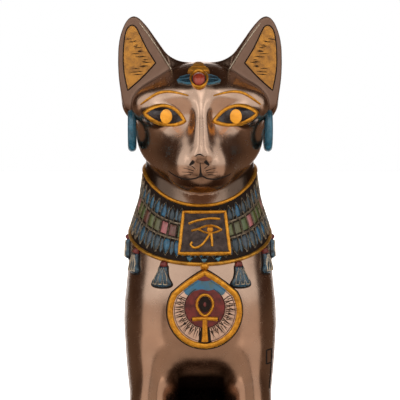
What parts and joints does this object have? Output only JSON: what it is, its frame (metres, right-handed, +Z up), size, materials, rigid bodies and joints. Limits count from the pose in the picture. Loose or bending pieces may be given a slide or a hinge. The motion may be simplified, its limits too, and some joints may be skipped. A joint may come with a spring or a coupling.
{
  "type": "seated cat figure",
  "caption": "Upright seated Egyptian cat with hoop earrings, broad collar, plaque, lotus tassels and ankh pendant, cast in one with a low base.",
  "frame": {"origin": "bottom centre of the base", "axes": "+Z up, the cat faces -Y, its left side is +X"},
  "size_m": [0.15, 0.244, 0.46],
  "materials": {
    "bronze_casting": "cold-cast resin with a polished bronze skin, gold and enamel-coloured paint"
  },
  "bodies": {
    "root": {"bastet_cat": "bronze_casting"}
  },
  "joints": []
}
